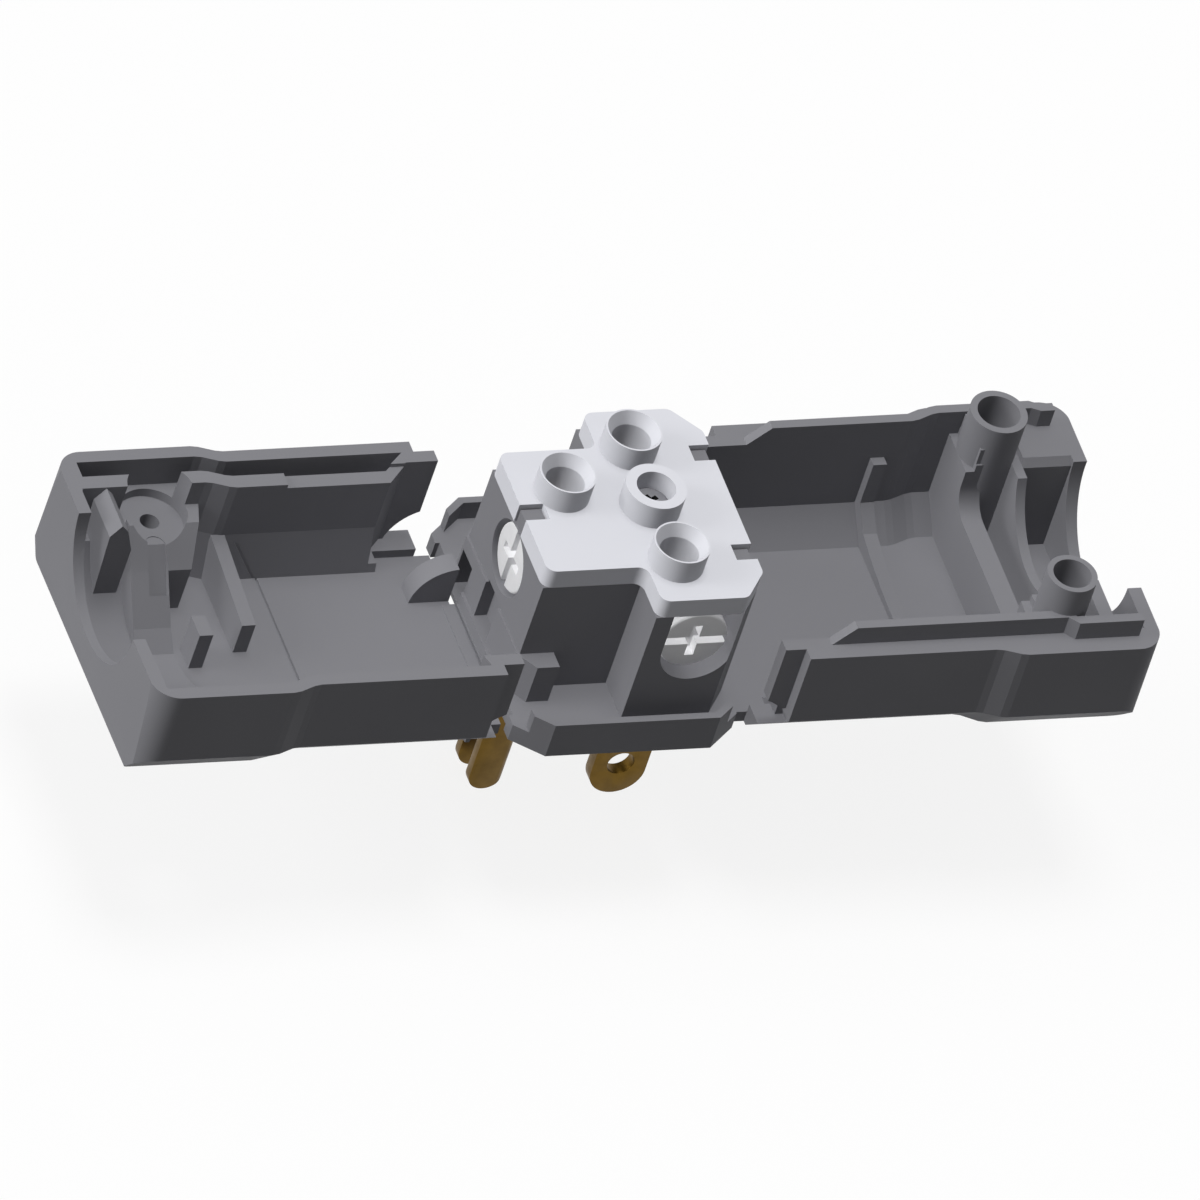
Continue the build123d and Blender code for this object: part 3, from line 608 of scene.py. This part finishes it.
BLADE_X = middle(blade_low.x, blade_high.x)
TERMINAL_Z = middle(line_low.z, line_high.z)
GROUND_Z = middle(plate_low.z, plate_high.z)
HEAD_Y, GROUND_HEAD_X = line_high.y, earth_low.x
HEAD_R = radius_of(line_low.z, line_high.z)
HEAD_T = plate_low.x - earth_low.x
print("head radius and thickness in mm:", HEAD_R, round(HEAD_T, 2))

# %% [markdown]
# A true helix would take thousands of faces on a shank that hardly shows. Rings
# tell the same story: the shank is bisected twice in each turn of the thread, and
# the second ring is drawn in to make the valley.

# %% Model a threaded shank
SHANK_R, THREAD_PITCH, THREAD_START = 1.99, 0.7, 0.45
CREST_AT, VALLEY_AT, VALLEY_SHARE = 0.15, 0.5, 0.86
ROOT = 0.4  # how far a shank reaches into its head
NEAR = 0.001  # mm, within which a point lies on a ring


def threaded_shank(length):
    """A shank below the screw's head with rings cut for its thread."""
    shank = rod(SHANK_R, -HEAD_T - length, -HEAD_T + ROOT)
    turns = max(2, int(length / THREAD_PITCH) - 1)
    first = -HEAD_T - THREAD_START
    valleys = [first - (i + VALLEY_AT) * THREAD_PITCH for i in range(turns)]
    crests = [first - (i + CREST_AT) * THREAD_PITCH for i in range(turns)]
    pick(shank)
    bpy.ops.object.mode_set(mode="EDIT")
    for z in sorted(crests + valleys, reverse=True):
        bpy.ops.mesh.select_all(action="SELECT")
        bpy.ops.mesh.bisect(plane_co=(0, 0, z * MM), plane_no=(0, 0, 1))
    bpy.ops.object.mode_set(mode="OBJECT")
    for vertex in shank.data.vertices:
        if any(abs(vertex.co.z / MM - z) < NEAR for z in valleys):
            vertex.co.x *= VALLEY_SHARE
            vertex.co.y *= VALLEY_SHARE
    return shank


print("thread pitch in mm:", THREAD_PITCH)

# %% [markdown]
# The head starts as a disc whose upper rim is bevelled, because plated screws never
# have a knife edge. The two slots are sawn with boxes, and the shank is joined on.

# %% Model one terminal screw
HEAD_RIM, SLOT_W, SLOT_DEPTH, CROSS_LEN = 0.3, 1.05, 1.2, 4.4
OVER = 1.0  # how far a saw runs past the head
SLACK = 0.1  # an edge this near to a face still counts as lying on it


def upper_rim(mid, run):
    """True for the edges round the upper face of a disc that hangs from the origin."""
    return mid.z > -SLACK and abs(run.z) < SLACK


def terminal_screw(shank_length):
    """A screw on the Z axis, its head face at the origin."""
    head = disc(HEAD_R, HEAD_T, (0, 0, -HEAD_T / 2), sides=96)
    rim = pick_edges(head, upper_rim)
    bevel_picked(HEAD_RIM, steps=3)
    cut(head, box((2 * HEAD_R + OVER, SLOT_W, 2 * SLOT_DEPTH), (0, 0, 0)))
    cut(head, box((SLOT_W, CROSS_LEN, 2 * SLOT_DEPTH), (0, 0, 0)))
    join(head, threaded_shank(shank_length))
    smooth(head)
    print("screw rim edges bevelled:", rim)
    return head


def place_screw(screw, turn, point):
    """Turn a screw that stands on Z, and move its head face to a point in mm."""
    screw.data.transform(turn)
    screw.data.transform(Matrix.Translation([c * MM for c in point]))
    screw.data.update()


print("head slot in mm, wide and deep:", SLOT_W, SLOT_DEPTH)

# %% [markdown]
# The two line screws are the same, so the second is a copy with its own mesh. The
# earth terminal is a little shallower, so its screw has a shorter shank.

# %% Place the three terminal screws
near_screw = terminal_screw(line_high.y - line_low.y - HEAD_T)
pick(near_screw)
bpy.ops.object.duplicate()
far_screw = bpy.context.object
ground_screw = terminal_screw(earth_high.x - earth_low.x - HEAD_T)

toward_viewer = Matrix.Rotation(QUARTER, 4, "X")
away = Matrix.Rotation(-QUARTER, 4, "X")
toward_left = Matrix.Rotation(-QUARTER, 4, "Y")
place_screw(near_screw, toward_viewer, (BLADE_X, -HEAD_Y, TERMINAL_Z))
place_screw(far_screw, away, (BLADE_X, HEAD_Y, TERMINAL_Z))
place_screw(ground_screw, toward_left, (GROUND_HEAD_X, 0, GROUND_Z))
for screw, node in (
    (near_screw, "near_terminal_screw"),
    (far_screw, "far_terminal_screw"),
    (ground_screw, "ground_terminal_screw"),
):
    settle(screw, node, plated_steel)

# %% [markdown]
# ## Cover screw
# The wire cover is held by one cross-head screw, sunk in the middle boss. Its head
# is a disc whose upper rim is bevelled in four steps. The cross recess tapers
# towards its floor, so it is cut with two wedges that cross.

# %% Model the cover screw
cover_low, cover_high = extent("cover_screw")
COVER_SCREW_X, COVER_TOP_Z = middle(cover_low.x, cover_high.x), cover_high.z
COVER_HEAD_R, COVER_HEAD_T, COVER_RIM = radius_of(cover_low.x, cover_high.x), 1.9, 0.45
COVER_SHANK_R, COVER_ROOT = 1.39, 0.2
RECESS_SIZE = (2.9, 0.8, 3.2)
RECESS_FLOOR = (0.25, 0.45)  # the wedge's length and width at its foot, as shares
RECESS_TURNS = (30, 120)


def recess_wedge(spin):
    """A bar that narrows downwards, standing in the screw head."""
    wedge = box(RECESS_SIZE, (0, 0, 0))
    for vertex in wedge.data.vertices:
        if vertex.co.z < 0:
            vertex.co.x *= RECESS_FLOOR[0]
            vertex.co.y *= RECESS_FLOOR[1]
    wedge.data.transform(Matrix.Rotation(math.radians(spin), 4, "Z"))
    return wedge


cover_screw = disc(COVER_HEAD_R, COVER_HEAD_T, (0, 0, -COVER_HEAD_T / 2))
pick_edges(cover_screw, upper_rim)
bevel_picked(COVER_RIM, steps=4)
for spin in RECESS_TURNS:
    cut(cover_screw, recess_wedge(spin))
join(cover_screw, rod(COVER_SHANK_R, cover_low.z - cover_high.z, -COVER_HEAD_T + COVER_ROOT))
smooth(cover_screw)
cover_screw.data.transform(Matrix.Translation((COVER_SCREW_X * MM, 0, COVER_TOP_Z * MM)))
settle(cover_screw, "cover_screw", dull_steel_painted_shade)

# %% [markdown]
# From above, little light reaches the recess, so its walls take a second, near-black
# material that paints that shade in: these are the faces near the axis, from just
# under the head's upper face down to the recess floor.

# %% Paint shade into the recess
RECESS_R, RECESS_TOP, RECESS_BOTTOM = 1.36, 0.08, 1.7
cover_screw.data.materials.append(recess_painted_shade)
inside = 0
# The faces inside the recess take the painted shade.
for face in cover_screw.data.polygons:
    from_axis = math.hypot(face.center.x / MM - COVER_SCREW_X, face.center.y / MM)
    sunk = COVER_TOP_Z - face.center.z / MM
    if from_axis < RECESS_R and RECESS_TOP < sunk < RECESS_BOTTOM:
        face.material_index = 1
        inside += 1
print("recess faces:", inside)

# %% [markdown]
# ## Clamp plates
# Under each terminal screw a small plate presses the wire against the contact.
# Each plate starts as the shape it was stamped to, gets its screw hole, and has
# its edges softened by the stamping. The line plates have square shoulders.

# %% Model the clamp plates
PLATE_R = radius_of(plate_low.z, plate_high.z)
PLATE_T = plate_high.x - plate_low.x
PLATE_HOLE_R, PLATE_EDGE = 2.1, 0.12
SHOULDER_DROP = 1.5  # how far below the screw's centre the shoulders start
THROUGH = 4.0  # long enough for a punch to pass through any strip here

plate_y = HEAD_Y - HEAD_T - PLATE_T / 2
shoulder_z = TERMINAL_Z + (PLATE_R - SHOULDER_DROP) / 2
for side, node in ((-1, "near_clamp_plate"), (1, "far_clamp_plate")):
    place = (BLADE_X, side * plate_y, TERMINAL_Z)
    plate = disc(PLATE_R, PLATE_T, place, "Y")
    shoulders = (2 * PLATE_R, PLATE_T, PLATE_R + SHOULDER_DROP)
    join(plate, box(shoulders, (BLADE_X, side * plate_y, shoulder_z)))
    cut(plate, disc(PLATE_HOLE_R, THROUGH, place, "Y"))
    soften(plate, PLATE_EDGE)
    settle(plate, node, plated_steel)

place = (middle(plate_low.x, plate_high.x), 0, GROUND_Z)
plate = disc(PLATE_R, PLATE_T, place, "X")
cut(plate, disc(PLATE_HOLE_R, THROUGH, place, "X"))
soften(plate, PLATE_EDGE)
settle(plate, "ground_clamp_plate", plated_steel)

# %% [markdown]
# ## Blades
# The contacts are stamped brass. A blade is a bar whose two tip corners are
# bevelled in many steps until they meet as a half round, with the tip hole cut
# through and every edge coined, so it slides into an outlet without catching. Its
# upper end is wider, round the screw.

# %% Model the two blades
BLADE_Y, BLADE_T = middle(blade_low.y, blade_high.y), blade_high.y - blade_low.y
BLADE_W, BLADE_HEAD_R = 6.35, radius_of(blade_low.x, blade_high.x)
BLADE_TIP, BAR_TOP, BLADE_TOP = blade_low.z, 10.0, 16.0
TIP_HOLE_Z, TIP_HOLE_R, SCREW_HOLE_R = -12.5, 1.55, 2.0
TIP_ROUND = 0.998  # of half the width, so that the two bevels don't quite meet
BLADE_EDGE = 0.18


def across_tip(mid, run):
    """True for the tip edges that run through the strip's thickness."""
    return mid.z < BLADE_TIP + SLACK and abs(run.y) > SLACK


for side, node in ((-1, "near_blade"), (1, "far_blade")):
    y = side * BLADE_Y
    length = BAR_TOP - BLADE_TIP
    blade = box((BLADE_W, BLADE_T, length), (BLADE_X, y, middle(BLADE_TIP, BAR_TOP)))
    pick_edges(blade, across_tip)
    bevel_picked(BLADE_W / 2 * TIP_ROUND, steps=16)
    head = disc(BLADE_HEAD_R, BLADE_T, (BLADE_X, y, TERMINAL_Z), "Y")
    shoulders = (2 * BLADE_HEAD_R, BLADE_T, BLADE_TOP - TERMINAL_Z)
    join(head, box(shoulders, (BLADE_X, y, middle(BLADE_TOP, TERMINAL_Z))))
    join(blade, head)
    cut(blade, disc(TIP_HOLE_R, THROUGH, (BLADE_X, y, TIP_HOLE_Z), "Y"))
    cut(blade, disc(SCREW_HOLE_R, THROUGH, (BLADE_X, y, TERMINAL_Z), "Y"))
    soften(blade, BLADE_EDGE, steps=3)
    settle(blade, node, contact_brass)

# %% [markdown]
# ## Earth pin
# The earth pin is one strip folded into a U that is open to the left, so its two
# outer bends are round. It starts as a bar with those bends, is hollowed and cut
# back to the single web above the legs, and the leg tips are cut half round.

# %% Fold and hollow the pin
pin_low, pin_high = extent("ground_pin")
PIN_LEFT, PIN_RIGHT, PIN_TIP = pin_low.x, pin_high.x, round(pin_low.z, 2)
PIN_W, PIN_T, PIN_BEND, PIN_LEG_TOP = 4.75, 1.1, 0.6, 6.5
OPEN, WIDE, SHORT, LONG = 6.0, 8.0, 10.0, 60.0  # tool sizes that reach past the strip


def outer_bend(mid, run):
    """True for the two long edges on the right, where the strip is folded."""
    return mid.x > PIN_RIGHT - SLACK and abs(run.z) > SLACK


pin_x = middle(PIN_LEFT, PIN_RIGHT)
leg_r = (PIN_RIGHT - PIN_LEFT) / 2
tip_z = PIN_TIP + leg_r
web_x = PIN_RIGHT - PIN_T
bar = (PIN_RIGHT - PIN_LEFT, PIN_W, GROUND_Z - PIN_TIP)
pin = box(bar, (pin_x, 0, middle(PIN_TIP, GROUND_Z)))
pick_edges(pin, outer_bend)
bevel_picked(PIN_BEND, steps=5)
cut(pin, box((OPEN, PIN_W - 2 * PIN_T, LONG), (web_x - OPEN / 2, 0, 0)))
cut(pin, box((OPEN, WIDE, 2 * SHORT), (web_x - OPEN / 2, 0, PIN_LEG_TOP + SHORT)))
cut(pin, box((WIDE, PIN_W - 2 * PIN_T, SHORT), (web_x, 0, tip_z - SHORT / 2)))
print("pin folded and hollowed, faces", len(pin.data.polygons))

# %% [markdown]
# The half-round tips need no profile of their own: a block below the tips' centre
# has a round bar taken out of it, and what is left of it trims both legs at once.

# %% Round the tips and add the screw pad
PAD_R, PIN_EDGE = radius_of(pin_low.y, pin_high.y), 0.15
trim = box((WIDE, WIDE, SHORT), (pin_x, 0, tip_z - SHORT / 2))
cut(trim, disc(leg_r, 2 * OPEN, (pin_x, 0, tip_z), "Y"))
cut(pin, trim)
join(pin, disc(PAD_R, PIN_T, (PIN_RIGHT - PIN_T / 2, 0, GROUND_Z), "X"))
cut(pin, disc(SCREW_HOLE_R, THROUGH, (PIN_RIGHT, 0, GROUND_Z), "X"))
soften(pin, PIN_EDGE, steps=3)
settle(pin, "ground_pin", contact_brass)

# %% [markdown]
# ## Floor
# The plug lies over plain white. The floor is white to the camera and to
# reflections, with the object's soft shadow on it, and dim to the light that
# bounces, so the dark faces stay dark. The Light Path node tells these rays apart.

# %% Tell the eye's rays from the rest
FLOOR_SIZE, FLOOR_DROP = 6, 0.2  # m, and mm below the plug's lowest point
DIM, PALE, SHADOW_SHARE = 0.12, 0.97, 0.3


def white_to_the_eye(tree):
    """1 for camera, mirror and see-through rays, 0 for light that bounces."""
    path = tree.nodes.new("ShaderNodeLightPath").outputs
    seen = add_math(tree, "MAXIMUM", path["Is Camera Ray"], path["Is Glossy Ray"])
    return add_math(tree, "MAXIMUM", seen, path["Is Transmission Ray"])


def plain_shader(tree, kind, level):
    """A Diffuse or Emission shader of one grey level."""
    node = tree.nodes.new(kind)
    node.inputs["Color"].default_value = (level, level, level, 1)
    return node.outputs[0]


def mix_shaders(tree, factor, first, second):
    node = tree.nodes.new("ShaderNodeMixShader")
    feed(tree, node.inputs[0], factor)
    tree.links.new(first, node.inputs[1])
    tree.links.new(second, node.inputs[2])
    return node.outputs[0]


print("share of the floor that takes shadow:", SHADOW_SHARE)

# %% [markdown]
# To the eye the floor is mostly a glowing white sheet. Only a share of it is pale
# paint, which keeps the shadow faint.

# %% Lay the floor
studio_floor = bpy.data.materials.new("studio_floor")
studio_floor.use_nodes = True
tree = studio_floor.node_tree
tree.nodes.clear()
bright = plain_shader(tree, "ShaderNodeEmission", 1)
pale = plain_shader(tree, "ShaderNodeBsdfDiffuse", PALE)
dim = plain_shader(tree, "ShaderNodeBsdfDiffuse", DIM)
sheet = mix_shaders(tree, SHADOW_SHARE, bright, pale)
surface = mix_shaders(tree, white_to_the_eye(tree), dim, sheet)
out = tree.nodes.new("ShaderNodeOutputMaterial")
tree.links.new(surface, out.inputs["Surface"])

floor_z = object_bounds()[0].z - FLOOR_DROP * MM
clear()
bpy.ops.mesh.primitive_plane_add(size=FLOOR_SIZE, location=(0, 0, floor_z))
floor = bpy.context.object
floor.name = "floor"
floor.data.materials.append(studio_floor)
print("floor at", round(floor_z / MM, 2), "mm")

# %% [markdown]
# ## Light
# The faces that look up and those that look to the left are both bright, and the
# faces that look at the viewer are the darkest. So there are two broad lamps, one
# overhead and one low on the left, and a weak even sky. Most of their light is a
# fill that casts no shadow, so that slots, pockets and the far shell are as bright
# inside as they are in the photograph.

# %% Sky
SKY = 0.18
world = bpy.data.worlds.new("sky")
bpy.context.scene.world = world
world.use_nodes = True
tree = world.node_tree
sky = tree.nodes["Background"]
sky.inputs["Color"].default_value = (1, 1, 1, 1)
strength = add_range(tree, white_to_the_eye(tree), (0, 1), (SKY, 1))
tree.links.new(strength, sky.inputs["Strength"])
print("sky strength for bounced light:", SKY)

# %% [markdown]
# A sun lamp has no place, only a direction, so the light is even over the whole
# plug. Its angle makes it as broad as a studio softbox.

# %% Lamps
OVERHEAD, LOW_LEFT, LOWER_LEFT = (0.0, 0.12, 0.99), (-0.90, 0.10, 0.42), (-0.95, 0.10, 0.30)


def broad_sun(name, direction, spread, energy, shadow):
    """A sun that shines from this direction, with its spread in degrees."""
    clear()
    bpy.ops.object.light_add(type="SUN", location=(0, 0, 1))
    lamp = bpy.context.object
    lamp.name = name
    lamp.data.angle = math.radians(spread)
    lamp.data.energy = energy
    lamp.data.use_shadow = shadow
    lamp.rotation_mode = "QUATERNION"
    lamp.rotation_quaternion = Vector(direction).normalized().to_track_quat("Z", "Y")
    print(name, "energy", energy)


broad_sun("overhead_light", OVERHEAD, 20, 0.65, shadow=True)
broad_sun("overhead_fill", OVERHEAD, 20, 1.2, shadow=False)
broad_sun("left_light", LOW_LEFT, 24, 0.6, shadow=True)
broad_sun("left_fill", LOWER_LEFT, 24, 1.6, shadow=False)

# %% [markdown]
# ## Camera
# The photograph is a parallel view, so its rays fix three directions: to the
# right, up the picture, and back to the viewer. They are turned into the camera's
# rotation, and two small shifts put the plug where it stands in the picture.

# %% Camera
RIGHT = Vector((0.91905, -0.30490, 0.24980)).normalized()
BACK = Vector((-0.3913, -0.6293, 0.6714)).normalized()
UP = BACK.cross(RIGHT).normalized()
RIGHT = UP.cross(BACK).normalized()
VIEW_WIDTH, SHIFT_RIGHT, SHIFT_UP, DISTANCE = 129.03, 2.28, 4.054, 500
camera_data = bpy.data.cameras.new("photo_camera")
camera = bpy.data.objects.new("photo_camera", camera_data)
bpy.context.scene.collection.objects.link(camera)
camera_data.type = "ORTHO"
camera_data.ortho_scale = VIEW_WIDTH * MM
camera_data.clip_start = 0.01
camera_data.clip_end = 10
camera.rotation_mode = "QUATERNION"
camera.rotation_quaternion = Matrix((RIGHT, UP, BACK)).transposed().to_quaternion()
camera.location = (RIGHT * SHIFT_RIGHT + UP * SHIFT_UP + BACK * DISTANCE) * MM
bpy.context.scene.camera = camera
bpy.context.scene.view_settings.view_transform = "Standard"
print("camera at", [round(v, 3) for v in camera.location])
